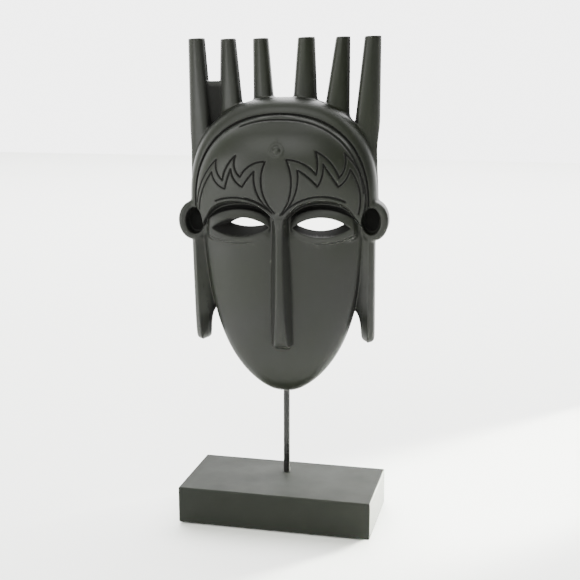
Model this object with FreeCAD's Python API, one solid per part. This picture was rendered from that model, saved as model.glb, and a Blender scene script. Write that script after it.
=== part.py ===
import FreeCAD, Part
import math
import os

from FreeCAD import Placement, Rotation, Vector

# A hollow carved face with a crown of six tines, standing on a thin rod in a rectangular block.
# Millimetres, +Z up, +X to the viewer's right, -Y towards the viewer.
# The origin is the centre of the felt under the block, on the surface that it stands on.

# Stand
BASE_WIDTH = 120.0
BASE_DEPTH = 60.0
BASE_HEIGHT = 24.0
FELT_THICKNESS = 1.0
FELT_INSET = 3.0
BASE_EDGE_BREAK = 0.4
ROD_RADIUS = 2.0
ROD_X = -0.7
ROD_Y = 11.6
ROD_END_BREAK = 0.3
RUNNING_CLEARANCE = 0.05
BASE_SLEEVE_RADIUS = 3.0
BASE_SLEEVE_BOTTOM = 2.0
BASE_SLEEVE_TOP = 22.0
BASE_SLEEVE_CAP = 1.2
BASE_TOP_HOLE_RADIUS = 2.2
CHIN_SLEEVE_RADIUS = 2.9
CHIN_SLEEVE_DEPTH = 28.0
CHIN_SLEEVE_CAP = 1.2
END_GAP = 0.1

# How the carving sits on the rod
CHIN_HEIGHT = 78.0
MASK_YAW = 4.8
MASK_LEAN = 0.7

# Carving, in its own frame: h is the height above the chin, y is 0 on the rod's axis
FACE_HEIGHT = 114.0
CHIN_HALF_WIDTH = 40.4
CHEEK_FLARE = 11.0
CHIN_SQUARENESS = 4.03
CHIN_FULLNESS = 1.64
CROWN_CENTRE = 119.0
BAND_HALF_WIDTH = 57.2
BAND_RISE = 63.5
BAND_SQUARENESS = 2.45
BROW_HALF_WIDTH = 52.4
BROW_RISE = 54.0
BROW_SQUARENESS = 2.3
BAND_LIFT = 2.0
RIM_Y = 1.0
BACK_Y = 5.0
BAND_TOP_LIFT = 3.0
BAND_TUCK = 4.0
EDGE_Y = -2.0
FOREHEAD_EDGE_Y = -9.0
CROWN_TOP = 217.0
TINE_THICKNESS = 8.0
BROW_DROP = 6.0
FACE_ROWS = 90

# Front surface on the centre line, as (height, y): the face below the brows, then the forehead
FACE_PROFILE = [(-3, -1), (0, -1), (3, -6.5), (10, -10.5), (25, -13.5), (50, -15), (85, -15.5), (125, -15)]
FOREHEAD_PROFILE = [(100, -19), (118, -24.5), (138, -27.5), (150, -27), (161, -23), (169, -16.5), (174, -12)]
# Lower edge of the brow, as (distance from the centre line, height)
BROW_EDGE = [(0, 107), (4, 110), (10, 117), (17, 120.5), (25, 122), (33, 120), (42, 113), (48, 106), (60, 92)]
# Eye: the lids swell out round a slit
EYE_X = 25.0
EYE_HEIGHT = 106.5
EYE_HALF_WIDTH = 21.0
EYE_HALF_HEIGHT = 11.5
EYE_BALL_DEPTH = 6.5
EYE_FRONT_Y = -17.0
SLIT_INNER = 7.5
SLIT_OUTER = 43.0
SLIT_CORNER = 105.2
SLIT_TOP = 112.3
SLIT_BOTTOM = 101.2
# Hollow behind the face: an oval mouth, and its floor on the centre line as (height, y)
HOLLOW_HEIGHT = 98.0
HOLLOW_HALF_WIDTH = 42.0
HOLLOW_HALF_HEIGHT = 64.0
HOLLOW_FALL = 7.0
HOLLOW_SQUARENESS = 2.4
HOLLOW_PROFILE = [(30, -2), (50, -7), (80, -9), (112, -10), (130, -17), (148, -18), (170, -8)]
# Nose: (height, half width of the front, half width at the cheek, y of the front)
NOSE_SECTIONS = [
    (33.5, 4.4, 7.0, -19.5),
    (37, 3.9, 7.0, -21.5),
    (52, 3.0, 6.9, -22.0),
    (75, 2.4, 6.7, -21.5),
    (100, 2.1, 5.4, -20.5),
    (112, 2.3, 5.0, -20.5),
]
NOSE_ROOT_Y = -9.0
NOSE_SIDE_DEPTH = 6.0
# Crown: (height of the foot, foot left, foot right, top left, top right), seen from the front
TINES = [
    (121, -59.3, -41.0, -58.8, -48.4),
    (160, -40.3, -23.0, -38.9, -29.2),
    (165, -18.7, -4.0, -18.9, -9.2),
    (165, 4.5, 21.0, 8.7, 18.9),
    (160, 22.0, 39.8, 31.6, 40.1),
    (121, 38.0, 57.8, 48.7, 58.6),
]
TINE_FOOT_Y = -1.0
TINE_TOP_Y = 3.0
TINE_EDGE = 2.0
WEB_LEFT = -47.0
WEB_FRONT_Y = 3.0
WEB_WIDTH = 10.0
WEB_THICKNESS = 3.0
WEB_FOOT = 160.0
WEB_TOP = 192.5
# Ears and pendants, on both sides
EAR_X = 55.0
EAR_HEIGHT = 109.2
EAR_HALF_WIDTH = 9.0
EAR_HALF_HEIGHT = 11.9
EAR_FRONT_Y = -9.2
EAR_RIM = 3.8
EAR_CUP_Y = -3.8
# Pendant: (height, inner x, ridge x, outer x, y of the ridge)
PENDANT_SECTIONS = [
    (31.8, 50.0, 52.4, 54.2, -1.0),
    (34.5, 48.6, 52.6, 55.8, -4.5),
    (40, 48.0, 52.8, 56.2, -6.5),
    (49, 47.3, 53.0, 56.4, -7.3),
    (55, 44.0, 53.4, 56.5, -7.6),
    (100, 42.0, 54.0, 57.0, -8.0),
]
PENDANT_OUTER_DEPTH = 4.0
PENDANT_INNER_DEPTH = 7.0
RIGHT_PENDANT_SHIFT = -1.0
BOSS_HEIGHT = 153.0
BOSS_RADIUS = 3.3
BOSS_RISE = 1.0


def follow(knots, at):
    """A smooth curve through the knots, level with the end knots beyond them."""
    if at <= knots[0][0]:
        return knots[0][1]
    if at >= knots[-1][0]:
        return knots[-1][1]
    last = len(knots) - 1
    i = max(k for k in range(last) if knots[k][0] <= at)

    def slope(k):
        before, after = knots[max(k - 1, 0)], knots[min(k + 1, last)]
        return (after[1] - before[1]) / (after[0] - before[0])

    (x0, y0), (x1, y1) = knots[i], knots[i + 1]
    span = x1 - x0
    t = (at - x0) / span
    rise = y0 * (1 + 2 * t) * (1 - t) ** 2 + y1 * t * t * (3 - 2 * t)
    return rise + span * (slope(i) * t * (1 - t) ** 2 - slope(i + 1) * t * t * (1 - t))


def ease(t):
    """A soft step from 0 to 1."""
    t = min(max(t, 0.0), 1.0)
    return t * t * (3 - 2 * t)


def cheek_half_width(h):
    """Half width of the face between the chin and the temples."""
    u = min(max(h / FACE_HEIGHT, 0.0), 1.0)
    return (CHIN_HALF_WIDTH + CHEEK_FLARE * u) * (1 - (1 - u) ** CHIN_SQUARENESS) ** (1 / CHIN_FULLNESS)


def arch_half_width(h, half_width, rise, squareness):
    """Half width of an arch that springs from the temples."""
    u = min(max((h - CROWN_CENTRE) / rise, 0.0), 1.0)
    return half_width * (1 - u ** squareness) ** (1 / squareness)


def face_half_width(h):
    """Half width of the face and forehead, inside the headband."""
    arch = arch_half_width(h, BROW_HALF_WIDTH, BROW_RISE, BROW_SQUARENESS)
    return min(cheek_half_width(h) + ease((h - 105) / 14) * 3, arch)


def steps(low, high, count):
    """Evenly spaced values from low to high."""
    return [low + (high - low) * i / count for i in range(count + 1)]


def dome(reach, edge_y, middle_y, fullness):
    """Depth across a dome that rolls back to its edge."""
    swell = max(1 - abs(reach) ** 2.4, 0.0) ** (1 / fullness)
    return edge_y + (middle_y - edge_y) * swell


def brow_share(x, h):
    """0 under the brow and 1 on the forehead."""
    return ease((h - follow(BROW_EDGE, abs(x)) + BROW_DROP / 2) / BROW_DROP)


def spaced(low, high, count):
    """Values from low to high, closer together at both ends."""
    return [low + (high - low) * (1 - math.cos(math.pi * i / count)) / 2 for i in range(count + 1)]


def solid_behind(rows):
    """Everything from a surface through rows of points back to the flat back of the carving."""
    surface = Part.BSplineSurface()
    surface.interpolate(rows)
    block = surface.toShape().extrude(Vector(0, 60, 0))
    return block.common(Part.makeBox(200, 100 + BACK_Y, 300, Vector(-100, -100, -50)))


def prism(edges, start_y, end_y):
    """Edges in the plane y = 0, filled and extruded from start_y to end_y."""
    face = Part.Face(Part.Wire(edges))
    face.translate(Vector(0, start_y, 0))
    return face.extrude(Vector(0, end_y - start_y, 0))


def oval_edge(x, h, half_width, half_height, squareness):
    """A closed rounded outline, an ellipse when the squareness is 2."""
    turns = [math.radians(15 * i) for i in range(24)]
    power = 2 / squareness
    points = [
        Vector(
            x + half_width * math.copysign(abs(math.cos(a)) ** power, math.cos(a)),
            0,
            h + half_height * math.copysign(abs(math.sin(a)) ** power, math.sin(a)),
        )
        for a in turns
    ]
    curve = Part.BSplineCurve()
    curve.interpolate(Points=points, PeriodicFlag=True)
    return curve.toShape()


def face_solid():
    """The domed face and forehead, before anything is cut or added."""
    rows = []
    for share in [math.sin(math.radians(a)) for a in range(-90, 91, 4)]:
        row = []
        for h in spaced(0.9, CROWN_CENTRE + BROW_RISE - 0.2, FACE_ROWS):
            brow = brow_share(share * face_half_width(h), h)
            y = dome(share, EDGE_Y, follow(FACE_PROFILE, h), 2.2) * (1 - brow)
            y += dome(share, FOREHEAD_EDGE_Y, follow(FOREHEAD_PROFILE, h), 1.8) * brow
            row.append(Vector(share * face_half_width(h), y, h))
        rows.append(row)
    return solid_behind(rows)


def band_solid():
    """The rolled headband over the forehead, with its inner rim tucked under the forehead's edge."""
    inner_width = BROW_HALF_WIDTH - BAND_TUCK
    inner_rise = BROW_RISE - BAND_TUCK
    rows = []
    for across in steps(0.0, 1.0, 8):
        width = inner_width + (BAND_HALF_WIDTH - inner_width) * across
        rise = inner_rise + (BAND_RISE - inner_rise) * across
        row = []
        for a in steps(math.radians(-5), math.radians(185), 32):
            x = width * math.copysign(abs(math.cos(a)) ** (2 / BAND_SQUARENESS), math.cos(a))
            h = CROWN_CENTRE + rise * math.copysign(abs(math.sin(a)) ** (2 / BAND_SQUARENESS), math.sin(a))
            start_y = FOREHEAD_EDGE_Y - BAND_LIFT - BAND_TOP_LIFT * ease(math.sin(a))
            row.append(Vector(x, RIM_Y + (start_y - RIM_Y) * math.sqrt(1 - 0.99 * across ** 2), h))
        rows.append(row)
    return solid_behind(rows)


def eyelids(side):
    """The swollen lids, on the side given by the sign."""
    ball = Part.makeSphere(1.0)
    stretch = FreeCAD.Matrix()
    stretch.scale(EYE_HALF_WIDTH, EYE_BALL_DEPTH, EYE_HALF_HEIGHT)
    stretch.move(Vector(side * EYE_X, EYE_FRONT_Y + EYE_BALL_DEPTH, EYE_HEIGHT))
    return ball.transformGeometry(stretch)


def hollow_solid():
    """The smooth hollow behind the face."""
    rows = []
    for x in steps(-HOLLOW_HALF_WIDTH - 8, HOLLOW_HALF_WIDTH + 8, 16):
        row = []
        for h in steps(HOLLOW_HEIGHT - HOLLOW_HALF_HEIGHT - 8, HOLLOW_HEIGHT + HOLLOW_HALF_HEIGHT + 8, 24):
            row.append(Vector(x, follow(HOLLOW_PROFILE, h) + HOLLOW_FALL * (x / HOLLOW_HALF_WIDTH) ** 2, h))
        rows.append(row)
    surface = Part.BSplineSurface()
    surface.interpolate(rows)
    block = surface.toShape().extrude(Vector(0, 60, 0))
    mouth = oval_edge(0, HOLLOW_HEIGHT, HOLLOW_HALF_WIDTH, HOLLOW_HALF_HEIGHT, HOLLOW_SQUARENESS)
    return block.common(prism([mouth], -40.0, BACK_Y + 10))


def eye_slit(side):
    """A pointed slit through the wall, on the side given by the sign."""
    inner = Vector(side * SLIT_INNER, 0, SLIT_CORNER)
    outer = Vector(side * SLIT_OUTER, 0, SLIT_CORNER)
    top = Part.Arc(inner, Vector(side * EYE_X, 0, SLIT_TOP), outer)
    bottom = Part.Arc(outer, Vector(side * EYE_X, 0, SLIT_BOTTOM), inner)
    return prism([top.toShape(), bottom.toShape()], -40.0, 0.0)


def ruled_stack(sections):
    """A solid with straight sides through closed outlines of equal corners."""
    wires = [Part.makePolygon([Vector(*p) for p in section + section[:1]]) for section in sections]
    return Part.makeLoft(wires, True, True)


def nose():
    """The long narrow nose bar."""
    return ruled_stack([
        [
            (-root, NOSE_ROOT_Y, h), (root, NOSE_ROOT_Y, h), (root, y + NOSE_SIDE_DEPTH, h),
            (front, y, h), (-front, y, h), (-root, y + NOSE_SIDE_DEPTH, h),
        ]
        for h, front, root, y in NOSE_SECTIONS
    ])


def tine(foot_height, foot_left, foot_right, top_left, top_right):
    """One upright tine of the crown, with chamfered front edges."""
    sections = []
    for h, left, right, y in (
        (foot_height, foot_left, foot_right, TINE_FOOT_Y),
        (CROWN_TOP, top_left, top_right, TINE_TOP_Y),
    ):
        back = y + TINE_THICKNESS
        sections.append([
            (left, back, h), (right, back, h), (right, y + TINE_EDGE, h),
            (right - TINE_EDGE, y, h), (left + TINE_EDGE, y, h), (left, y + TINE_EDGE, h),
        ])
    return ruled_stack(sections)


def crown_web():
    """The thin web that joins the two left tines."""
    foot = Vector(WEB_LEFT, WEB_FRONT_Y, WEB_FOOT)
    return Part.makeBox(WEB_WIDTH, WEB_THICKNESS, WEB_TOP - WEB_FOOT, foot)


def ear_prism(side, margin, start_y, end_y):
    """An upright ellipse, smaller than the ear by the margin, extruded along Y."""
    middle = Vector(side * EAR_X, 0, EAR_HEIGHT)
    top = middle + Vector(0, 0, EAR_HALF_HEIGHT - margin)
    edge = middle + Vector(EAR_HALF_WIDTH - margin, 0, 0)
    return prism([Part.Ellipse(top, edge, middle).toShape()], start_y, end_y)


def pendant(side):
    """The blunt pendant below an ear, with a ridged front."""
    hanging = ruled_stack([
        [
            (side * inner, BACK_Y, h), (side * outer, BACK_Y, h), (side * outer, y + PENDANT_OUTER_DEPTH, h),
            (side * ridge, y, h), (side * inner, min(y + PENDANT_INNER_DEPTH, BACK_Y - 1), h),
        ]
        for h, inner, ridge, outer, y in PENDANT_SECTIONS
    ])
    hanging.translate(Vector(RIGHT_PENDANT_SHIFT if side > 0 else 0.0, 0, 0))
    return hanging


def forehead_boss():
    """The round boss in the middle of the forehead."""
    front = follow(FOREHEAD_PROFILE, BOSS_HEIGHT) - BOSS_RISE
    return Part.makeCylinder(BOSS_RADIUS, 4.0, Vector(0, front, BOSS_HEIGHT), Vector(0, 1, 0))


def rod_hole(radius, low, high):
    """A vertical cylinder on the rod's axis."""
    return Part.makeCylinder(radius, high - low, Vector(ROD_X, ROD_Y, low))


def mask():
    """The whole carving, turned and leaned on the rod, with the hole for its sleeve."""
    sides = (-1, 1)
    added = [eyelids(side) for side in sides]
    added += [nose(), forehead_boss()]
    added += [ear_prism(side, 0.0, EAR_FRONT_Y, BACK_Y) for side in sides]
    added += [pendant(side) for side in sides]
    added += [band_solid(), crown_web()]
    added += [tine(*sizes) for sizes in TINES]
    removed = [hollow_solid()]
    removed += [eye_slit(side) for side in sides]
    removed += [ear_prism(side, EAR_RIM, EAR_FRONT_Y - 1, EAR_CUP_Y) for side in sides]
    body = face_solid()
    for piece in added:
        body = body.fuse(piece)
    for piece in removed:
        body = body.cut(piece)
    lean = Placement(Vector(), Rotation(Vector(0, 1, 0), -MASK_LEAN))
    turn = Placement(Vector(ROD_X, ROD_Y, CHIN_HEIGHT), Rotation(Vector(0, 0, 1), MASK_YAW))
    body.Placement = turn * lean
    bore = rod_hole(CHIN_SLEEVE_RADIUS, CHIN_HEIGHT - 10, CHIN_HEIGHT + CHIN_SLEEVE_DEPTH)
    return body.cut(bore)


def chin_sleeve():
    """A capped tube in the chin, which the rod slides into."""
    top = CHIN_HEIGHT + CHIN_SLEEVE_DEPTH
    tube = rod_hole(CHIN_SLEEVE_RADIUS, CHIN_HEIGHT + 1.0, top)
    return tube.cut(rod_hole(ROD_RADIUS + RUNNING_CLEARANCE, CHIN_HEIGHT, top - CHIN_SLEEVE_CAP))


def stand_rod():
    """The rod, with its end edges broken."""
    low = BASE_SLEEVE_BOTTOM + BASE_SLEEVE_CAP + END_GAP
    high = CHIN_HEIGHT + CHIN_SLEEVE_DEPTH - CHIN_SLEEVE_CAP - END_GAP
    rod = rod_hole(ROD_RADIUS, low, high)
    ends = [e for e in rod.Edges if e.Closed]
    return rod.makeChamfer(ROD_END_BREAK, ends)


def base_block():
    """The block, with lightly broken edges, and bored from below for its sleeve."""
    corner = Vector(-BASE_WIDTH / 2, -BASE_DEPTH / 2, FELT_THICKNESS)
    block = Part.makeBox(BASE_WIDTH, BASE_DEPTH, BASE_HEIGHT - FELT_THICKNESS, corner)
    block = block.makeChamfer(BASE_EDGE_BREAK, block.Edges)
    block = block.cut(rod_hole(BASE_SLEEVE_RADIUS, 0.0, BASE_SLEEVE_TOP))
    return block.cut(rod_hole(BASE_TOP_HOLE_RADIUS, BASE_SLEEVE_TOP - 1, BASE_HEIGHT + 1))


def base_sleeve():
    """The capped tube pressed into the block from below, which the rod stands and turns in."""
    floor = BASE_SLEEVE_BOTTOM + BASE_SLEEVE_CAP
    tube = rod_hole(BASE_SLEEVE_RADIUS, BASE_SLEEVE_BOTTOM, BASE_SLEEVE_TOP)
    return tube.cut(rod_hole(ROD_RADIUS + RUNNING_CLEARANCE, floor, BASE_SLEEVE_TOP + 1))


def base_felt():
    """The felt sheet under the block."""
    width = BASE_WIDTH - 2 * FELT_INSET
    depth = BASE_DEPTH - 2 * FELT_INSET
    return Part.makeBox(width, depth, FELT_THICKNESS, Vector(-width / 2, -depth / 2, 0))


NODES = {
    "mask": mask,
    "chin_sleeve": chin_sleeve,
    "stand_rod": stand_rod,
    "base_block": base_block,
    "base_sleeve": base_sleeve,
    "base_felt": base_felt,
}

os.makedirs("parts", exist_ok=True)
for name, make in NODES.items():
    shape = make()
    box = shape.BoundBox
    print(name, "solids", len(shape.Solids), "valid", shape.isValid(), "volume", round(shape.Volume, 1),
          "x", round(box.XMin, 1), round(box.XMax, 1), "y", round(box.YMin, 1), round(box.YMax, 1),
          "z", round(box.ZMin, 1), round(box.ZMax, 1))
    shape.exportStep("parts/" + name + ".step")
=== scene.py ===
import math

import bmesh
import bpy
import numpy as np
import openvdb
from mathutils import Matrix, Vector


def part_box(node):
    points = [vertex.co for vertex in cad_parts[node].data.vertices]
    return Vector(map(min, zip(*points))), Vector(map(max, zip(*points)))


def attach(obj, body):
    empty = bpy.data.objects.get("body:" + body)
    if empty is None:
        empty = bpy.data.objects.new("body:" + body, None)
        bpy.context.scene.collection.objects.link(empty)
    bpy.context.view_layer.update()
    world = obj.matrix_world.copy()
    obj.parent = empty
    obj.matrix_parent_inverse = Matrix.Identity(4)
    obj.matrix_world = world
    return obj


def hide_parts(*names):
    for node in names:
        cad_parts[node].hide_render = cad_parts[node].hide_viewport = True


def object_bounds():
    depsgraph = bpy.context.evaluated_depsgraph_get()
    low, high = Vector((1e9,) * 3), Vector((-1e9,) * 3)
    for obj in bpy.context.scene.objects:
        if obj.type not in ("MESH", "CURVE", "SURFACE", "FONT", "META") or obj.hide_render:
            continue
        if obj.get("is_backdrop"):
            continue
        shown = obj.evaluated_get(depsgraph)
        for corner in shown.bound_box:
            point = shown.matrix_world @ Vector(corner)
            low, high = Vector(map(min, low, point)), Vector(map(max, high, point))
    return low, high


# A carved black mask with a tined crown on a rod and block. The carving is worked out as a field of
# signed distances, in its own millimetre frame: x to its left and right, y back from the rod's axis
# (the front is negative) and h up from the chin. The mesh of that field is then set on the rod.

MM = 0.001

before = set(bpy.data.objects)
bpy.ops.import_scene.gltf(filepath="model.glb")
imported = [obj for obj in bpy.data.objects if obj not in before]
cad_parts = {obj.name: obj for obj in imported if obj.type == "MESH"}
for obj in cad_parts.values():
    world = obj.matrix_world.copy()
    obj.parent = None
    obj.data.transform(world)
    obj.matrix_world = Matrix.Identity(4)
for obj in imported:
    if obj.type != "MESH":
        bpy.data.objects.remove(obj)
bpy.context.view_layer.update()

# ---------------------------------------------------------------- how the carving sits on the rod
MASK_YAW = math.radians(4.8)
MASK_LEAN = math.radians(0.7)
SLEEVE_SET_BACK = 1.0

# ---------------------------------------------------------------- the field's grid
VOXEL = 0.42
X_REACH = 68.0
Y_LOW, Y_HIGH = -32.0, 14.0
H_LOW, H_HIGH = -3.0, 221.0
FACE_LIMIT = 190000
FINE_REACH, WIDE_REACH = 1.4, 9.0

# ---------------------------------------------------------------- the carving's sizes
FACE_HEIGHT = 114.0
CHIN_HALF_WIDTH = 40.4
CHEEK_FLARE = 11.0
CHIN_SQUARENESS = 4.03
CHIN_FULLNESS = 1.64
TEMPLE_START, TEMPLE_SPAN, TEMPLE_GAIN = 105, 14, 3
CROWN_CENTRE = 119.0
BAND_HALF_WIDTH, BAND_RISE, BAND_SQUARENESS = 57.2, 63.5, 2.45
BROW_HALF_WIDTH, BROW_RISE, BROW_SQUARENESS = 52.4, 54.0, 2.3
RIM_Y = 1.0
BACK_Y = 5.0
EDGE_Y = -2.0
FOREHEAD_EDGE_Y = -9.0
BAND_LIFT = 1.2
BAND_TOP_LIFT = 1.2
BAND_FOOT = 104
FACE_PROFILE = [(-3, -1), (0, -1), (3, -6.5), (10, -10.5), (25, -13.5), (50, -15), (85, -15.5), (125, -15)]
FOREHEAD_PROFILE = [(100, -19), (118, -24.5), (138, -27.5), (150, -27), (161, -23), (169, -16.5), (174, -12)]
HOLLOW_PROFILE = [(30, -2), (50, -7), (80, -9), (112, -10), (130, -17), (148, -18), (170, -8)]
HOLLOW_HEIGHT, HOLLOW_HALF_WIDTH, HOLLOW_HALF_HEIGHT = 98.0, 42.0, 64.0
HOLLOW_FALL = 7.0
CROWN_BACK_GAIN, CROWN_BACK_START, CROWN_BACK_SPAN = 6.0, 150, 30
SLEEVE_HOLE_RADIUS, SLEEVE_HOLE_TOP = 2.9, 28

# Lower edge of each brow, as (distance from the centre line, height)
BROW_EDGE = [(0, 106), (2, 108.5), (5, 112.6), (10, 117.2), (15, 119.8), (25, 121.5), (35, 120), (41, 116.5),
             (45, 111), (49, 105), (60, 92)]
BROW_DROP = 3.6
SOCKET_Y = -12.0

# Eye slit: a pointed opening in front, a smaller one behind
SLIT_FRONT = {"inner": 6.6, "outer": 43.0, "corner": 105.6, "top": 112.2, "bottom": 100.2}
SLIT_BACK_LEFT = {"inner": 9.0, "outer": 31.7, "corner": 107.9, "top": 111.6, "bottom": 106.0}
SLIT_BACK_RIGHT = {"inner": 9.6, "outer": 37.9, "corner": 107.4, "top": 112.0, "bottom": 103.4}
LID_Y = -16.2
LID_UPPER = 5.0
LID_LOWER = 3.6
LID_HALF_WIDTH = 21.5

# Nose: height against half width of the front, half width at the cheek, and y of the front
NOSE_FRONT = [(33, 4.0), (37, 3.4), (52, 2.5), (75, 1.8), (100, 1.6), (112, 2.0)]
NOSE_ROOT = [(33, 7.0), (52, 6.9), (75, 6.7), (100, 5.4), (112, 5.0)]
NOSE_Y = [(32, -21), (38, -23.8), (56, -24.5), (75, -23.5), (100, -22.5), (114, -23.5)]
NOSE_FOOT = 33.8
NOSE_HEAD = 112.0

BOSS_HEIGHT = 153.0
BOSS_RADIUS, BOSS_RISE = 2.3, 1.15
BOSS_RING_RADIUS, BOSS_RING_HALF_WIDTH, BOSS_RING_RISE = 3.6, 1.3, 0.3
BOSS_TAIL_TOP = 161.5


def smooth_least(a, b, blend):
    """The lesser of two fields, with the crease between them rounded."""
    share = np.clip(0.5 + 0.5 * (b - a) / blend, 0, 1)
    return b + (a - b) * share - blend * share * (1 - share)


def smooth_most(a, b, blend):
    """The greater of two fields, with the edge between them rounded."""
    return -smooth_least(-a, -b, blend)


def ease(t):
    """A soft step from 0 to 1."""
    t = np.clip(t, 0, 1)
    return t * t * (3 - 2 * t)


def follow(knots, at):
    """A smooth curve through the knots, level beyond them."""
    x, y = np.array(knots, float).T
    ahead, behind = np.append(np.arange(1, len(x)), len(x) - 1), np.append(0, np.arange(len(x) - 1))
    slope = (y[ahead] - y[behind]) / (x[ahead] - x[behind])
    at = np.clip(at, x[0], x[-1])
    i = np.clip(np.searchsorted(x, at, side="right") - 1, 0, len(x) - 2)
    span = x[i + 1] - x[i]
    t = (at - x[i]) / span
    value = y[i] * (1 + 2 * t) * (1 - t) ** 2 + y[i + 1] * t * t * (3 - 2 * t)
    return value + span * (slope[i] * t * (1 - t) ** 2 - slope[i + 1] * t * t * (1 - t))


# ---------------------------------------------------------------- fields over the front view
xs = np.arange(-X_REACH, X_REACH + VOXEL, VOXEL)
ys = np.arange(Y_LOW, Y_HIGH + VOXEL, VOXEL)
hs = np.arange(H_LOW, H_HIGH + VOXEL, VOXEL)
X, H = np.meshgrid(xs, hs, indexing="ij")
SIDE = np.abs(X)


def level(field):
    """A front-view field, scaled so that it counts distance near its own zero."""
    along_x, along_h = np.gradient(field, VOXEL)
    return field / np.maximum(np.hypot(along_x, along_h), 0.05)


def arch_reach(half_width, rise, squareness):
    """1 on an arch that springs from the temples, less inside it and more outside."""
    up = np.maximum(H - CROWN_CENTRE, 0) / rise
    return ((SIDE / half_width) ** squareness + up ** squareness) ** (1 / squareness)


def arch_distance(half_width, rise, squareness):
    """Distance from that arch, negative inside."""
    return level((arch_reach(half_width, rise, squareness) - 1) * half_width)


def cheek_half_width():
    """Half width of the face between the chin and the temples."""
    u = np.clip(H / FACE_HEIGHT, 0, 1)
    return (CHIN_HALF_WIDTH + CHEEK_FLARE * u) * (1 - (1 - u) ** CHIN_SQUARENESS) ** (1 / CHIN_FULLNESS)


def temple_gain():
    """How much wider the face grows towards the temples."""
    return ease((H - TEMPLE_START) / TEMPLE_SPAN) * TEMPLE_GAIN


def dome(reach, edge_y, middle_y, fullness):
    """Depth across a dome that rolls back to its edge."""
    return edge_y + (middle_y - edge_y) * np.clip(1 - np.abs(reach) ** 2.4, 0, 1) ** (1 / fullness)


def arc_points(start, via, end, count=14):
    """Points along the circular arc through three points."""
    (x0, h0), (x1, h1), (x2, h2) = start, via, end
    d = 2 * (x0 * (h1 - h2) + x1 * (h2 - h0) + x2 * (h0 - h1))
    s0, s1, s2 = x0 * x0 + h0 * h0, x1 * x1 + h1 * h1, x2 * x2 + h2 * h2
    cx = (s0 * (h1 - h2) + s1 * (h2 - h0) + s2 * (h0 - h1)) / d
    ch = (s0 * (x2 - x1) + s1 * (x0 - x2) + s2 * (x1 - x0)) / d
    a0, a1, a2 = (math.atan2(h - ch, x - cx) for x, h in (start, via, end))
    turn, part = (a2 - a0) % (2 * math.pi), (a1 - a0) % (2 * math.pi)
    if part > turn:
        turn -= 2 * math.pi
    radius = math.hypot(x0 - cx, h0 - ch)
    angles = a0 + turn * np.linspace(0, 1, count)
    return np.stack([cx + radius * np.cos(angles), ch + radius * np.sin(angles)], 1)


def stroke_distance(strokes):
    """Distance over the front view from the nearest of the arcs."""
    nearest = np.full(X.shape, 99.0)
    for start, via, end in strokes:
        points = arc_points(start, via, end)
        for (ax, ah), (bx, bh) in zip(points[:-1], points[1:]):
            dx, dh = bx - ax, bh - ah
            t = np.clip(((X - ax) * dx + (H - ah) * dh) / (dx * dx + dh * dh), 0, 1)
            nearest = np.minimum(nearest, np.hypot(X - ax - t * dx, H - ah - t * dh))
    return nearest


def chain(*points):
    """Arcs that follow one another: corner, via, corner, via, corner."""
    return [points[i:i + 3] for i in range(0, len(points) - 2, 2)]


# The double lightning line on each side of the forehead, outer line then inner line
LEFT_STROKES = (
    chain((-2, 116), (-9.3, 134), (-6.4, 146.6), (-13.9, 145.1), (-21.8, 137.5), (-24.6, 141.5), (-24.4, 150),
          (-29.7, 143.9), (-33, 135.3), (-36.4, 140.1), (-36.8, 147.4), (-46, 135.9), (-51, 121))
    + chain((-5.1, 118), (-12, 128), (-13.2, 141), (-17, 136.8), (-20.7, 131.6), (-25, 135.2), (-27.4, 142.2),
            (-29.7, 136.4), (-31.6, 130.3), (-36.5, 133), (-39.9, 140), (-46, 130.2), (-49.7, 117))
)
RIGHT_STROKES = (
    chain((1.4, 114.7), (8.6, 137), (6.0, 147.7), (15.5, 145.3), (23.3, 138.9), (24.0, 146), (22.8, 152.2),
          (30.5, 146.5), (36.2, 136.6), (39.7, 143.5), (38.9, 150.8), (48.6, 136), (49.6, 113))
    + chain((5.3, 118), (11.5, 130), (12.4, 141.8), (18.5, 137.4), (23.9, 131.8), (26.5, 137.5), (27.2, 145),
            (31.3, 138.4), (35.8, 131.4), (39.8, 135.2), (42.3, 141.2), (47.4, 129.5), (47, 115))
)
BROW_STROKES = [((-3.5, 116), (-16, 123.6), (-38, 122.8)), ((2.6, 115), (20, 125.3), (39.6, 122.4))]
BROW_SHADE = [((-7, 119), (-12, 122.4), (-19, 124.9))]
LINE_HALF_WIDTH = 0.66
LINE_DEPTH = 1.0
BROW_SHADE_HALF_WIDTH, BROW_SHADE_DEPTH = 1.1, 0.7
BAND_GROOVE_DEPTH = 0.9


def cut_line(front, distance, half_width, depth):
    """The front surface with a V-shaped line cut into it."""
    return front + depth * np.clip(1 - distance / half_width, 0, 1) ** 0.8


def lens(shape, x, h):
    """Distance from a pointed slit made by two arcs, negative inside."""
    middle = (shape["inner"] + shape["outer"]) / 2
    half = (shape["outer"] - shape["inner"]) / 2
    up, down = shape["top"] - shape["corner"], shape["corner"] - shape["bottom"]
    radius_up, radius_down = (half * half + up * up) / (2 * up), (half * half + down * down) / (2 * down)
    above = np.hypot(x - middle, h - shape["top"] + radius_up) - radius_up
    below = np.hypot(x - middle, h - shape["bottom"] - radius_down) - radius_down
    return np.maximum(above, below), above, below


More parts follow.
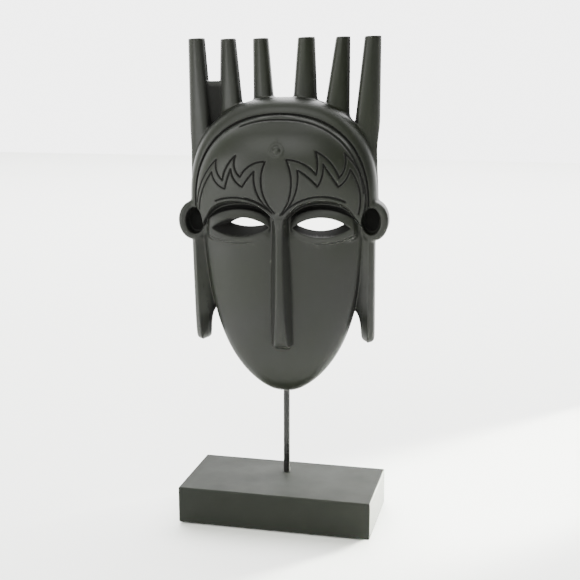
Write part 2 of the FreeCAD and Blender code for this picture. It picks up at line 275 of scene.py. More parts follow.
def lids(front):
    """The front surface with a raised rim above and below each slit."""
    _, above, below = lens(SLIT_FRONT, SIDE, H)
    middle = (SLIT_FRONT["inner"] + SLIT_FRONT["outer"]) / 2
    across = np.clip(1 - np.abs((SIDE - middle) / LID_HALF_WIDTH) ** 3.2, 0, 1) ** 0.5
    upper = LID_Y + 0.10 * np.maximum(above, 0) ** 1.6
    upper = upper + 1.6 * ease((above - LID_UPPER) / 0.9) + 1.2 * ease((above - LID_UPPER - 1.0) / 3.0)
    lower = LID_Y - 0.1 + 0.12 * np.maximum(below, 0) ** 1.7
    lower = lower + 3.0 * ease((below - LID_LOWER) / 1.0)
    rim = np.where(H > SLIT_FRONT["corner"], upper, lower)
    rim = SOCKET_Y + (rim - SOCKET_Y) * across
    near = ease(1.2 - np.where(H > SLIT_FRONT["corner"], (above - 9) / 3, (below - 5.6) / 1.5))
    near = near * ease((LID_HALF_WIDTH - np.abs(SIDE - middle)) / 3)
    return front + (smooth_least(rim, front, 1.0) - front) * near


def nose(front):
    """The front surface with the nose bar standing on it."""
    half, root = follow(NOSE_FRONT, H), follow(NOSE_ROOT, H)
    ridge_y = follow(NOSE_Y, H)
    fall = (front - ridge_y) / np.maximum(root - half, 0.5)
    out = np.maximum(SIDE - half, 0)
    bar = ridge_y + 0.035 * SIDE ** 2 + np.maximum(fall, 1.2) * np.hypot(out, 0.35) - 0.35
    bar = bar + 2.2 * np.maximum(NOSE_FOOT - H, 0) + 0.9 * np.maximum(H - NOSE_HEAD, 0)
    return smooth_least(front, bar, 1.1)


def boss(front):
    """The front surface with the ringed boss on the forehead."""
    away = np.hypot(X, H - BOSS_HEIGHT)
    ball = BOSS_RISE * np.sqrt(np.clip(1 - (away / BOSS_RADIUS) ** 2, 0, 1))
    ring = BOSS_RING_RISE * ease(1 - np.abs(away - BOSS_RING_RADIUS) / BOSS_RING_HALF_WIDTH)
    tail = 0.25 * np.clip(1 - np.abs(X) / 1.1, 0, 1)
    tail = tail * ease(H - BOSS_HEIGHT - 3.3) * ease((BOSS_TAIL_TOP - H) / 4)
    return front - ball - ring - tail


def engraving():
    """Distance over the front view from the nearest engraved line."""
    return stroke_distance(LEFT_STROKES + RIGHT_STROKES + BROW_STROKES)


ENGRAVED = engraving()


def second_groove():
    """Distance from the fine groove inside the headband, which fades out on the left."""
    away = np.abs(arch_distance(BROW_HALF_WIDTH - 2.4, BROW_RISE - 3.0, BROW_SQUARENESS))
    return away + 3 * (1 - ease((X + 30) / 8) * ease((H - CROWN_CENTRE - 4) / 4))


SECOND_GROOVE = second_groove()


def face_front():
    """Depth of the whole front surface inside the headband."""
    arch = np.clip((H - CROWN_CENTRE) / BROW_RISE, 0, 1)
    arch = BROW_HALF_WIDTH * (1 - arch ** BROW_SQUARENESS) ** (1 / BROW_SQUARENESS)
    half = np.maximum(np.minimum(cheek_half_width() + temple_gain(), arch), 0.5)
    reach = np.minimum(SIDE / half, 1)
    face = dome(reach, EDGE_Y, follow(FACE_PROFILE, H), 2.2)
    forehead = dome(reach, FOREHEAD_EDGE_Y, follow(FOREHEAD_PROFILE, H), 1.8)
    brow = follow(BROW_EDGE, SIDE)
    socket = ease((H - 92) / 14) * ease((SIDE - 3) / 6) * ease((48 - SIDE) / 10)
    face = face + (SOCKET_Y - face) * socket * ease((H - brow + 16) / 8) * 0.9
    front = face + (forehead - face) * ease((H - brow + 1.4) / BROW_DROP)
    front = lids(front)
    front = nose(front)
    front = boss(front)
    front = cut_line(front, ENGRAVED, LINE_HALF_WIDTH, LINE_DEPTH)
    front = cut_line(front, stroke_distance(BROW_SHADE), BROW_SHADE_HALF_WIDTH, BROW_SHADE_DEPTH)
    return cut_line(front, SECOND_GROOVE, LINE_HALF_WIDTH, LINE_DEPTH)


def behind(front):
    """Distance in front of a surface given by its depth, negative behind it, over the whole grid."""
    along_x, along_h = np.gradient(front, VOXEL)
    scale = 1 / np.sqrt(1 + np.minimum(along_x ** 2 + along_h ** 2, 30))
    return ((front[:, None, :] - Y3) * scale[:, None, :]).astype(np.float32)


# ---------------------------------------------------------------- the solid field
X3 = xs[:, None, None].astype(np.float32)
Y3 = ys[None, :, None].astype(np.float32)
H3 = hs[None, None, :].astype(np.float32)

# Crown: (height of the foot, foot left, foot right, top left, top right, height of the top)
TINES = [
    (119, -59.2, -41.0, -58.9, -48.4, 217.9),
    (158, -40.4, -23.4, -38.9, -29.3, 217.4),
    (164, -18.6, -4.6, -18.9, -9.3, 217.4),
    (164, 4.7, 21.0, 8.7, 18.9, 217.6),
    (158, 22.3, 39.9, 31.6, 40.1, 217.6),
    (119, 37.6, 57.9, 48.7, 58.6, 217.7),
]
WEB_MIDDLE = (-43.0, 4.2, 176.0)
TINE_FOOT_Y, TINE_TOP_Y, TINE_THICKNESS = -1.0, 3.0, 8.0
TINE_TURN = 0.28
CROWN_TOP = 217.0

EAR_X, EAR_HEIGHT, EAR_HALF_WIDTH, EAR_HALF_HEIGHT = 55.0, 109.2, 9.2, 12.0
EAR_FRONT_Y = -8.6
EAR_CUP_Y = -1.0
EAR_RIM_WIDTH, EAR_RIM_HEIGHT, EAR_CUP_SHIFT = 3.6, 3.8, 1.2

# Pendant: height against inner edge, ridge and outer edge, and y of the ridge
PENDANT_INNER = [(32.5, 49.8), (34, 48.5), (37, 48.0), (43, 47.6), (49, 46.4), (53, 44.5), (60, 43),
                 (100, 42)]
PENDANT_RIDGE = [(32.5, 52.4), (54, 53.2), (100, 54)]
PENDANT_OUTER = [(32.5, 54.8), (34, 56.0), (37, 56.4), (54, 56.6), (100, 57)]
PENDANT_Y = [(32.5, -2.6), (35, -5.2), (42, -6.8), (54, -7.5), (100, -8)]
PENDANT_FOOT, PENDANT_TOP = 32.5, 104
RIGHT_PENDANT_SHIFT = 1.1


def tine(foot, foot_left, foot_right, top_left, top_right, top):
    """One tine: flat in front with worn bevels, thicker at its foot."""
    t = (H3 - foot) / (CROWN_TOP - foot)
    flare = 1.1 * np.clip(1 - (H3 - foot) / 22, 0, 1) ** 2 if foot > 130 else 0.0
    left = foot_left + (top_left - foot_left) * t - flare
    right = foot_right + (top_right - foot_right) * t + flare
    front = TINE_FOOT_Y + (TINE_TOP_Y - TINE_FOOT_Y) * t
    middle, half = (left + right) / 2, (right - left) / 2
    across = np.abs(X3 - middle) - half
    face_y = front + TINE_TURN * math.tanh((foot_left + foot_right) / 24) * (X3 - middle)
    deep = np.maximum(face_y - Y3, Y3 - front - TINE_THICKNESS)
    sides = smooth_most(across, deep, 1.2)
    bevel = ((np.abs(X3 - middle) - half + 3.4) - (Y3 - face_y)) * 0.7071
    bar = smooth_most(sides, bevel, 2.2)
    bar = smooth_most(bar, H3 - top - 0.03 * (X3 - middle), 0.8)
    return smooth_most(bar, foot - H3, 0.8)


def crown_web():
    """The thin web that joins the two left tines."""
    x, front_y, h = WEB_MIDDLE
    return np.maximum(np.maximum(np.abs(X3 - x) - 6, np.abs(Y3 - front_y - 1.5) - 1.5), np.abs(H3 - h) - 16.5)


def band():
    """The rolled headband over the forehead and down to the ears."""
    inner = arch_distance(BROW_HALF_WIDTH, BROW_RISE, BROW_SQUARENESS)
    outer = arch_distance(BAND_HALF_WIDTH, BAND_RISE, BAND_SQUARENESS)
    across = np.clip((inner + 0.2) / np.maximum(inner - outer + 0.4, 0.5), 0, 1)
    start = FOREHEAD_EDGE_Y - BAND_LIFT - BAND_TOP_LIFT * ease((H - CROWN_CENTRE) / BAND_RISE)
    front = RIM_Y + (start - RIM_Y) * np.sqrt(1 - across ** 2)
    front = cut_line(front, np.abs(inner), LINE_HALF_WIDTH, BAND_GROOVE_DEPTH)
    solid = np.maximum(behind(front), outer[:, None, :])
    solid = np.maximum(solid, -(inner + 3)[:, None, :])
    return np.maximum(solid, BAND_FOOT - H3)


def face():
    """The face and forehead as one block, from the front surface to the flat back."""
    lower = level(SIDE - cheek_half_width() - temple_gain())
    arch = arch_distance(BROW_HALF_WIDTH, BROW_RISE, BROW_SQUARENESS)
    outline = np.where(H < CROWN_CENTRE, np.maximum(lower, -H), arch)
    return smooth_most(behind(face_front()), outline[:, None, :].astype(np.float32), 1.2)


def pendants():
    """The blunt pendants under the ears, each with a ridge down its front."""
    inner, outer = follow(PENDANT_INNER, H), follow(PENDANT_OUTER, H)
    ridge, ridge_y = follow(PENDANT_RIDGE, H), follow(PENDANT_Y, H)
    side = SIDE + RIGHT_PENDANT_SHIFT * (X > 0)
    away = side - ridge
    fall = np.where(away > 0, 3.0 * away / (outer - ridge), -6.5 * away / (ridge - inner))
    outline = np.maximum(inner - side, side - outer)
    outline = np.maximum(outline, np.maximum(PENDANT_FOOT - H, H - PENDANT_TOP))
    return smooth_most(behind(ridge_y + fall), outline[:, None, :].astype(np.float32), 1.4)


def ears():
    """The cupped ears, with a rounded rim."""
    def oval(half_width, half_height, x, h):
        """Distance from an oval on each side, negative inside."""
        reach = np.hypot((SIDE - x) / half_width, (H - h) / half_height)
        return level((reach - 1) * half_width)[:, None, :].astype(np.float32)

    outer = oval(EAR_HALF_WIDTH, EAR_HALF_HEIGHT, EAR_X, EAR_HEIGHT)
    cup = oval(EAR_HALF_WIDTH - EAR_RIM_WIDTH, EAR_HALF_HEIGHT - EAR_RIM_HEIGHT,
               EAR_X - EAR_CUP_SHIFT, EAR_HEIGHT)
    body = smooth_most(outer, EAR_FRONT_Y - Y3 - 0.15 * (np.abs(X3) - EAR_X), 3.0)
    hollow = smooth_most(cup, Y3 - EAR_CUP_Y, 2.0)
    return body, hollow


def hollow():
    """The hollow behind the face."""
    reach = (SIDE / HOLLOW_HALF_WIDTH) ** 2.4 + (np.abs(H - HOLLOW_HEIGHT) / HOLLOW_HALF_HEIGHT) ** 2.4
    mouth = level((reach ** (1 / 2.4) - 1) * HOLLOW_HALF_WIDTH)[:, None, :].astype(np.float32)
    floor = follow(HOLLOW_PROFILE, H) + HOLLOW_FALL * (SIDE / HOLLOW_HALF_WIDTH) ** 2
    return smooth_most(mouth, behind(floor), 5.0)


def slits():
    """The pointed eye openings, which narrow and climb towards the back."""
    depth = np.clip((Y3 + 16) / 7.0, 0, 1)
    openings = []
    for sign, back in ((-1, SLIT_BACK_LEFT), (1, SLIT_BACK_RIGHT)):
        shape = {key: SLIT_FRONT[key] + (back[key] - SLIT_FRONT[key]) * depth for key in SLIT_FRONT}
        openings.append(lens(shape, sign * X3, H3)[0])
    return np.maximum(np.minimum(*openings), Y3 + 2)


def carving_field():
    """The whole carving as one field, negative inside."""
    solid = smooth_least(face(), band(), 0.5)
    for sizes in TINES:
        solid = smooth_least(solid, tine(*sizes), 1.8)
    solid = smooth_least(solid, crown_web(), 1.0)
    solid = smooth_least(solid, pendants(), 1.2)
    ear, cup = ears()
    solid = smooth_least(solid, ear, 1.5)
    solid = smooth_most(solid, -cup, 0.8)
    back = Y3 - BACK_Y - CROWN_BACK_GAIN * ease((H3 - CROWN_BACK_START) / CROWN_BACK_SPAN)
    solid = smooth_most(solid, back, 1.0)
    solid = smooth_most(solid, -hollow(), 1.5)
    solid = smooth_most(solid, -slits(), 0.5)
    sleeve = np.hypot(X3, Y3) - SLEEVE_HOLE_RADIUS
    sleeve = np.maximum(sleeve, H3 - SLEEVE_HOLE_TOP)
    return np.maximum(solid, -sleeve).astype(np.float32)


def place(points):
    """Points of the carving's own frame, leaned and turned on the rod, in metres."""
    rod_low, rod_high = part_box("stand_rod")
    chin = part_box("chin_sleeve")[0][2] - SLEEVE_SET_BACK * MM
    lean = Matrix.Rotation(-MASK_LEAN, 3, "Y")
    turn = Matrix.Rotation(MASK_YAW, 3, "Z")
    spin = np.array(turn @ lean)
    foot = np.array([(rod_low[0] + rod_high[0]) / 2, (rod_low[1] + rod_high[1]) / 2, chin])
    return points * MM @ spin.T + foot


def sample(field, points):
    """A field's values at points, over the front view or over the whole grid."""
    axes = [0, 2] if field.ndim == 2 else [0, 1, 2]
    start = np.array([xs[0], ys[0], hs[0]])[axes]
    spot = np.clip((points[:, axes] - start) / VOXEL, 0, np.array(field.shape) - 1.001)
    cell = spot.astype(int)
    part = spot - cell
    total = np.zeros(len(points))
    for corner in np.ndindex(*[2] * field.ndim):
        share = np.prod(np.where(corner, part, 1 - part), axis=1)
        total += share * field[tuple((cell + corner).T)]
    return total


def outward(field, points):
    """The unit direction that leads out of the surface at each point."""
    steps = np.eye(3) * VOXEL
    away = np.stack([sample(field, points + step) - sample(field, points - step) for step in steps], 1)
    return away / np.maximum(np.linalg.norm(away, axis=1), 1e-6)[:, None]


def recess(field, points, away, reach):
    """How closed in each surface point is, from 0 in the open to 1 in a narrow cut."""
    return np.clip(1 - sample(field, points + away * reach) / reach, 0, 1)


# Strength of the painted shade beside the nose and on the crown web
NOSE_SHADE = 0.45
WEB_SHADE = 0.8
FRONT_ONLY = 0.25


def painted_shade(points, away):
    """Painted shade: where the colour is darkened to stand for shade, and the paint is duller, on surfaces
    that don't face back.

    That is in the cut lines, eye slits and ear cups, on the crown web and beside the nose.
    """
    # Each share below is painted shade: a darker colour in the cut lines, eye slits, ear cups, beside the
    # nose and on the crown web.
    x, y, h = points.T
    inner_groove = np.abs(arch_distance(BROW_HALF_WIDTH, BROW_RISE, BROW_SQUARENESS)) + 9 * (H < BAND_FOOT)
    lines = np.minimum(np.minimum(ENGRAVED, SECOND_GROOVE), inner_groove)
    in_line = np.clip(1.3 - sample(lines, points) / LINE_HALF_WIDTH, 0, 1) * (y < -5)
    in_eye = np.clip(-1.6 * sample(lens(SLIT_FRONT, SIDE, H)[0], points), 0, 1) * (y < -2)
    cup_x = (SIDE - EAR_X + EAR_CUP_SHIFT) / (EAR_HALF_WIDTH - EAR_RIM_WIDTH)
    cup = np.hypot(cup_x, (H - EAR_HEIGHT) / (EAR_HALF_HEIGHT - EAR_RIM_HEIGHT))
    in_cup = np.clip(5 - 5 * sample(cup, points), 0, 1) * (y > -7.2) * (y < 0)
    half, root = follow(NOSE_FRONT, h), follow(NOSE_ROOT, h)
    # Painted shade in the angle beside the nose
    by_nose = ease(np.abs(x) - half) * ease(root + 0.8 - np.abs(x)) * (y < -12)
    by_nose = by_nose * ease((h - 32) / 2) * ease((108 - h) / 8) * NOSE_SHADE
    # Painted shade on the recessed crown web
    web_x, web_y, web_h = np.abs(points - np.array(WEB_MIDDLE)).T
    in_web = (web_x < 5.5) * (web_y < 1.0) * (web_h < 15.5) * WEB_SHADE
    return np.max([in_line, in_eye, in_cup, by_nose, in_web], axis=0) * (away[:, 1] < FRONT_ONLY)


def mesh_of(field):
    """Points and faces of the field's zero surface."""
    grid = openvdb.FloatGrid(background=3.0)
    grid.copyFromArray(np.clip(field, -3, 3))
    points, triangles, quads = grid.convertToPolygons(isovalue=0.0, adaptivity=0.0)
    points = points * VOXEL + np.array([xs[0], ys[0], hs[0]])
    return points, triangles, quads


def new_object(name, mesh):
    """A new object in the scene."""
    made = bpy.data.objects.new(name, mesh)
    bpy.context.scene.collection.objects.link(made)
    return made


def make_mask():
    """The carving as a mesh on the rod."""
    field = carving_field()
    points, triangles, quads = mesh_of(field)
    mesh = bpy.data.meshes.new("carved_mask")
    faces = [tuple(int(i) for i in corners[::-1]) for shapes in (quads, triangles) for corners in shapes]
    mesh.from_pydata(points.tolist(), [], faces)
    mesh.update()
    mask = new_object("carved_mask", mesh)
    count = 2 * len(quads) + len(triangles)
    if count > FACE_LIMIT:
        thin = mask.modifiers.new("thin", "DECIMATE")
        thin.ratio = FACE_LIMIT / count
        bpy.context.view_layer.update()
        thinned = bpy.data.meshes.new_from_object(mask.evaluated_get(bpy.context.evaluated_depsgraph_get()))
        mask.modifiers.clear()
        mask.data = thinned
    points = np.zeros(3 * len(mask.data.vertices))
    mask.data.vertices.foreach_get("co", points)
    points = points.reshape(-1, 3)
    away = outward(field, points)
    # The first value is painted shade, and the two recess measures set further painted shade in cuts and
    # hollows in the material.
    values = {
        "painted_shade": painted_shade(points, away),
        "fine_recess": recess(field, points, away, FINE_REACH),
        "wide_recess": recess(field, points, away, WIDE_REACH),
    }
    for name, value in values.items():
        layer = mask.data.attributes.new(name, "FLOAT", "POINT")
        layer.data.foreach_set("value", value)
    mask.data.vertices.foreach_set("co", place(points).ravel())
    mask.data.update()
    mask.data.shade_smooth()
    print("mask faces", count, "kept", len(mask.data.polygons))
    return mask


mask = make_mask()
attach(mask, "carving")
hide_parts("mask")


# ---------------------------------------------------------------- block, rod
def soft_box(name, low, high, radius, steps=4):
    """A closed box with rounded edges."""
    builder = bmesh.new()
    bmesh.ops.create_cube(builder, size=1.0)
    size = Vector(high) - Vector(low)
    middle = (Vector(high) + Vector(low)) / 2
    for vertex in builder.verts:
        vertex.co = middle + Vector(vertex.co[i] * size[i] for i in range(3))
    bmesh.ops.bevel(builder, geom=builder.edges[:], offset=radius, segments=steps, profile=0.5,
                    affect="EDGES")
    mesh = bpy.data.meshes.new(name)
    builder.to_mesh(mesh)
    builder.free()
    mesh.shade_smooth()
    made = new_object(name, mesh)
    weigh = made.modifiers.new("flat faces", "WEIGHTED_NORMAL")
    weigh.keep_sharp = True
    return made


def turned(name, profile, around, sides=64):
    """A closed solid of revolution about a vertical axis, from (radius, height) pairs."""
    builder = bmesh.new()
    rings = []
    for radius, height in profile:
        if radius < 1e-7:
            rings.append([builder.verts.new((around[0], around[1], height))])
            continue
        ring = []
        for i in range(sides):
            angle = 2 * math.pi * i / sides
            x, y = around[0] + radius * math.cos(angle), around[1] + radius * math.sin(angle)
            ring.append(builder.verts.new((x, y, height)))
        rings.append(ring)
    for low, high in zip(rings[:-1], rings[1:]):
        for i in range(sides):
            j = (i + 1) % sides
            corners = [low[i % len(low)], low[j % len(low)], high[j % len(high)], high[i % len(high)]]
            corners = list(dict.fromkeys(corners))
            builder.faces.new(corners)
    bmesh.ops.recalc_face_normals(builder, faces=builder.faces[:])
    mesh = bpy.data.meshes.new(name)
    builder.to_mesh(mesh)
    builder.free()
    mesh.shade_smooth()
    return new_object(name, mesh)


BLOCK_EDGE_RADIUS = 1.0 * MM
ROD_EDGE = 0.3 * MM


def make_block():
    """The block, with rounded edges."""
    low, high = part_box("base_block")
    block = soft_box("stand_block", low, high, BLOCK_EDGE_RADIUS)
    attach(block, "stand")
    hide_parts("base_block")
    return block


def make_rod():
    """The rod, with its end edges broken."""
    low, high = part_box("stand_rod")
    middle = ((low[0] + high[0]) / 2, (low[1] + high[1]) / 2)
    radius = (high[0] - low[0]) / 2
    profile = [(0, low[2]), (radius - ROD_EDGE, low[2]), (radius, low[2] + ROD_EDGE)]
    profile += [(radius, low[2] + (high[2] - low[2]) * i / 12) for i in range(1, 12)]
    profile += [(radius, high[2] - ROD_EDGE), (radius - ROD_EDGE, high[2]), (0, high[2])]
    rod = turned("painted_rod", profile, middle)
    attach(rod, "rod")
    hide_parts("stand_rod")
    return rod


block = make_block()
rod = make_rod()


# ---------------------------------------------------------------- materials
class Nodes:
    """A short way to write a node material."""

    def __init__(self, name):
        self.material = bpy.data.materials.new(name)
        self.material.use_nodes = True
        self.tree = self.material.node_tree
        self.shader = self.tree.nodes["Principled BSDF"]
        self.where = self.add("ShaderNodeTexCoord").outputs["Object"]

    def add(self, kind, **values):
        """A node, with its plain settings."""
        node = self.tree.nodes.new(kind)
        for key, value in values.items():
            setattr(node, key, value)
        return node

    def link(self, source, target):
        """A link between two sockets."""
        self.tree.links.new(source, target)

    def noise(self, scale, detail=3.0, stretch=(1, 1, 1), rough=0.5):
        """Noise over the object, with a scale in features per metre."""
        mapping = self.add("ShaderNodeMapping")
        mapping.inputs["Scale"].default_value = stretch
        self.link(self.where, mapping.inputs["Vector"])
        noise = self.add("ShaderNodeTexNoise")
        noise.inputs["Scale"].default_value = scale
        noise.inputs["Detail"].default_value = detail
        noise.inputs["Roughness"].default_value = rough
        self.link(mapping.outputs["Vector"], noise.inputs["Vector"])
        return noise.outputs["Fac"]

    def ramp(self, source, *stops):
        """A colour ramp of (position, colour) stops."""
        node = self.add("ShaderNodeValToRGB")
        elements = node.color_ramp.elements
        while len(elements) < len(stops):
            elements.new(0.5)
        for element, (position, colour) in zip(elements, stops):
            element.position = position
            element.color = (*colour, 1)
        self.link(source, node.inputs["Fac"])
        return node.outputs["Color"]

    def spread(self, source, low, high, from_low=0.3, from_high=0.7):
        """A value moved from one range to another, clamped."""
        node = self.add("ShaderNodeMapRange")
        node.inputs["From Min"].default_value = from_low
        node.inputs["From Max"].default_value = from_high
        node.inputs["To Min"].default_value = low
        node.inputs["To Max"].default_value = high
        self.link(source, node.inputs["Value"])
        return node.outputs["Result"]

    def mix(self, share, first, second):
        """A blend of two colours by a share."""
        node = self.add("ShaderNodeMix", data_type="RGBA")
        self.link(share, node.inputs["Factor"])
        for value, socket in ((first, node.inputs[6]), (second, node.inputs[7])):
            if isinstance(value, tuple):
                socket.default_value = (*value, 1)
            else:
                self.link(value, socket)
        return node.outputs[2]

    def bump(self, source, height, strength=1.0, under=None):
        """A bump of a real height in metres, over another bump if one is given."""
        node = self.add("ShaderNodeBump")
        node.inputs["Strength"].default_value = strength
        node.inputs["Distance"].default_value = height
        self.link(source, node.inputs["Height"])
        if under is not None:
            self.link(under, node.inputs["Normal"])
        return node.outputs["Normal"]

    def greatest(self, first, second):
        """The greater of two values."""
        node = self.add("ShaderNodeMath", operation="MAXIMUM")
        self.link(first, node.inputs[0])
        self.link(second, node.inputs[1])
        return node.outputs["Value"]

    def attribute(self, name):
        """A value kept on the mesh's points."""
        return self.add("ShaderNodeAttribute", attribute_name=name).outputs["Fac"]

    def worn_edges(self, low, high):
        """0 on flats and 1 on sharp outward edges."""
        return self.spread(self.add("ShaderNodeNewGeometry").outputs["Pointiness"], 0.0, 1.0, low, high)


PAINT_SPECULAR, BLOCK_SPECULAR = 0.24, 0.16
# Recess ranges over which painted shade sets in, and the colour of that painted shade in the carving's cuts
# and hollows
CUT_RECESS, WIDE_RECESS = (0.35, 0.75), (0.5, 0.95)
PAINTED_SHADE_COLOUR = (0.0012, 0.0012, 0.001)


def black_paint(name, base, tint, pale, rough_low, rough_high, specular=PAINT_SPECULAR):
    """Satin black paint: soft cloudy patches, fine brushed grain and rubbed edges."""
    m = Nodes(name)
    m.shader.inputs["Specular IOR Level"].default_value = specular
    cloud = m.ramp(m.noise(18, 3), (0.35, base), (0.65, tint))
    m.colour = m.mix(m.worn_edges(0.53, 0.60), cloud, pale)
    m.link(m.colour, m.shader.inputs["Base Color"])
    m.roughness = m.spread(m.noise(45, 4), rough_low, rough_high)
    m.link(m.roughness, m.shader.inputs["Roughness"])
    grain = m.bump(m.noise(900, 4, (1, 1, 0.25)), 0.00006, 0.5)
    m.link(m.bump(m.noise(60, 2), 0.00025, 0.35, grain), m.shader.inputs["Normal"])
    return m


def carving_paint():
    """The carving's paint, with painted shade that darkens its colour in cuts and hollows, where the paint is
    also duller.
    """
    m = black_paint("satin black paint", (0.0070, 0.0084, 0.0050), (0.0090, 0.0094, 0.0085),
                    (0.035, 0.04, 0.03), 0.38, 0.46)
    # Painted shade: the colour darkens in narrow cuts, in deep hollows and where the mesh's shade value says.
    cut_shade = m.spread(m.attribute("fine_recess"), 0, 1, *CUT_RECESS)
    deep = m.spread(m.attribute("wide_recess"), 0, 1, *WIDE_RECESS)
    shade_share = m.greatest(m.greatest(cut_shade, deep), m.attribute("painted_shade"))
    m.link(m.mix(shade_share, m.colour, PAINTED_SHADE_COLOUR), m.shader.inputs["Base Color"])
    m.link(m.greatest(m.roughness, m.spread(shade_share, 0.3, 0.95, 0, 0.9)), m.shader.inputs["Roughness"])
    return m.material


mask_paint = carving_paint()
block_paint = black_paint("satin black block", (0.0062, 0.0076, 0.0055), (0.0080, 0.0092, 0.0068),
                          (0.03, 0.032, 0.026), 0.62, 0.72, BLOCK_SPECULAR).material
rod_paint = black_paint("black rod paint", (0.010, 0.010, 0.010), (0.014, 0.014, 0.013),
                        (0.03, 0.03, 0.03), 0.26, 0.36).material


def drawn_steel():
    """Plain drawn tube, with fine lines round it."""
    m = Nodes("drawn steel")
    m.link(m.ramp(m.noise(300, 3, (1, 1, 0.1)), (0.3, (0.30, 0.30, 0.29)), (0.7, (0.42, 0.41, 0.40))),
           m.shader.inputs["Base Color"])
    m.link(m.spread(m.noise(500, 2, (1, 1, 0.1)), 0.3, 0.5), m.shader.inputs["Roughness"])
    m.shader.inputs["Metallic"].default_value = 1.0
    return m.material


def black_felt():
    """Pressed wool felt."""
    m = Nodes("black felt")
    m.link(m.ramp(m.noise(1500, 5), (0.3, (0.012, 0.012, 0.012)), (0.7, (0.035, 0.035, 0.034))),
           m.shader.inputs["Base Color"])
    m.link(m.spread(m.noise(400, 3), 0.85, 1.0), m.shader.inputs["Roughness"])
    m.link(m.bump(m.noise(1800, 4), 0.0003, 0.8), m.shader.inputs["Normal"])
    m.shader.inputs["Sheen Weight"].default_value = 0.3
    return m.material


def paint(thing, material):
    """One material over a whole object."""
    thing.data.materials.clear()
    thing.data.materials.append(material)


paint(mask, mask_paint)
paint(block, block_paint)
paint(rod, rod_paint)
steel = drawn_steel()
paint(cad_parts["chin_sleeve"], steel)
paint(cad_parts["base_sleeve"], steel)
paint(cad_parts["base_felt"], black_felt())


# ---------------------------------------------------------------- floor, light and camera
def make_floor():
    """A plain pale floor."""
    builder = bmesh.new()
    bmesh.ops.create_grid(builder, x_segments=2, y_segments=2, size=2.5)
    mesh = bpy.data.meshes.new("floor")
    builder.to_mesh(mesh)
    builder.free()
    floor = new_object("floor", mesh)
    m = Nodes("pale floor")
    pale = m.ramp(m.noise(3, 2), (0.3, (0.93, 0.93, 0.92)), (0.7, (0.95, 0.95, 0.94)))
    m.link(pale, m.shader.inputs["Base Color"])
    m.link(m.spread(m.noise(20, 2), 0.6, 0.7), m.shader.inputs["Roughness"])
    paint(floor, m.material)
    floor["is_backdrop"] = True


def lamp(name, place_at, aim, size, watts, colour=(1, 1, 1), spread=180):
    """A rectangular soft box that faces a point."""
    light = bpy.data.lights.new(name, "AREA")
    light.shape = "RECTANGLE"
    light.size, light.size_y = size
    light.energy = watts
    light.color = colour
    light.spread = math.radians(spread)
    made = bpy.data.objects.new(name, light)
    made.location = place_at
    made.rotation_euler = (Vector(aim) - Vector(place_at)).to_track_quat("-Z", "Y").to_euler()
    bpy.context.scene.collection.objects.link(made)


ROOM_AND_BACKDROP = (1.35, 4.8)
ROOM_TINT = (0.94, 1.0, 0.84)
RIGHT_SHARE = 0.12


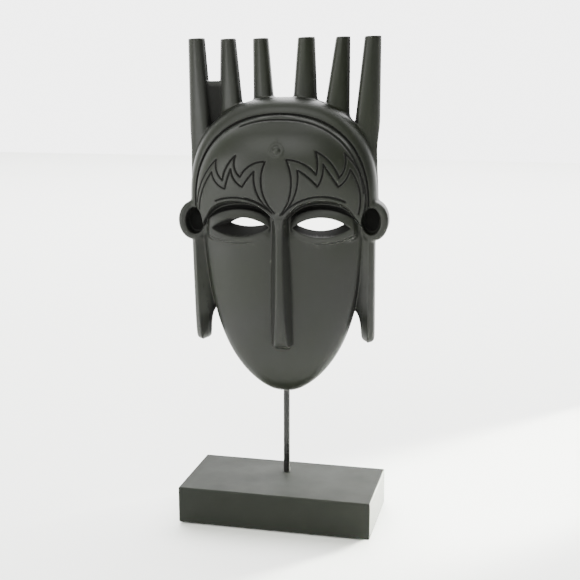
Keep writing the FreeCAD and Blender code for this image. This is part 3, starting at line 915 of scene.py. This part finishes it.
def make_world():
    """A white studio: a bright backdrop behind the mask, a dimmer room in front, dark at the right."""
    world = bpy.data.worlds.new("studio")
    bpy.context.scene.world = world
    world.use_nodes = True
    tree = world.node_tree
    background = tree.nodes["Background"]
    split = tree.nodes.new("ShaderNodeSeparateXYZ")
    tree.links.new(tree.nodes.new("ShaderNodeTexCoord").outputs["Generated"], split.inputs[0])

    def share(axis, edges, ends):
        """A value that goes from one end to the other between two edges along an axis."""
        step = tree.nodes.new("ShaderNodeMapRange")
        for label, value in zip(("From Min", "From Max", "To Min", "To Max"), edges + ends):
            step.inputs[label].default_value = value
        tree.links.new(split.outputs[axis], step.inputs["Value"])
        return step.outputs["Result"]

    product = tree.nodes.new("ShaderNodeMath")
    product.operation = "MULTIPLY"
    tree.links.new(share("Y", (0.1, 0.75), ROOM_AND_BACKDROP), product.inputs[0])
    tree.links.new(share("X", (0.25, 0.8), (1.0, RIGHT_SHARE)), product.inputs[1])
    tree.links.new(product.outputs[0], background.inputs["Strength"])
    tint = tree.nodes.new("ShaderNodeValToRGB")
    tint.color_ramp.elements[0].color = (*ROOM_TINT, 1)
    tint.color_ramp.elements[1].color = (1.0, 1.0, 0.995, 1)
    tint.color_ramp.elements[1].position = 0.5
    tree.links.new(split.outputs["Y"], tint.inputs["Fac"])
    tree.links.new(tint.outputs["Color"], background.inputs["Color"])


CAMERA_AZIMUTH = math.radians(13.29)
CAMERA_PITCH = math.radians(12.06)
CAMERA_ROLL = math.radians(-0.10)
CAMERA_DISTANCE = 0.669
CAMERA_LENS = 68.13
AIM_RIGHT = 0.0042
AIM_SHARE = 0.4836
VIEW_SHIFT = 0.0052


def make_camera():
    """The camera, above and to the right of the mask."""
    low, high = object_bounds()
    right = Vector((math.cos(CAMERA_AZIMUTH), math.sin(CAMERA_AZIMUTH), 0))
    level_forward = Vector((-math.sin(CAMERA_AZIMUTH), math.cos(CAMERA_AZIMUTH), 0))
    forward = level_forward * math.cos(CAMERA_PITCH) - Vector((0, 0, math.sin(CAMERA_PITCH)))
    aim = right * AIM_RIGHT + Vector((0, 0, low[2] + (high[2] - low[2]) * AIM_SHARE))
    data = bpy.data.cameras.new("camera")
    data.lens = CAMERA_LENS
    data.sensor_width = 36.0
    data.shift_y = VIEW_SHIFT
    data.clip_start = 0.01
    camera = bpy.data.objects.new("camera", data)
    camera.location = aim - forward * CAMERA_DISTANCE
    turn = forward.to_track_quat("-Z", "Y").to_matrix()
    camera.rotation_euler = (turn @ Matrix.Rotation(CAMERA_ROLL, 3, "Z")).to_euler()
    bpy.context.scene.collection.objects.link(camera)
    bpy.context.scene.camera = camera


make_floor()
make_world()
lamp("high soft box", (-0.1, -0.9, 1.1), (0, 0, 0.15), (1.0, 0.8), 3)
lamp("left soft box", (-0.95, -1.0, 0.3), (0, 0, 0.16), (0.8, 0.6), 12)
lamp("front floor soft box", (-0.1, -1.7, 1.4), (-0.1, -1.2, 0), (1.6, 1.2), 30)
lamp("floor soft box", (0, 1.5, 1.8), (0, 1.5, 0), (3.6, 2.4), 230)
lamp("low side strip", (0.30, 0.27, 0.03), (0.06, 0.0, 0.012), (0.16, 0.05), 1.4, (0.97, 1.0, 0.88),
     16)
make_camera()
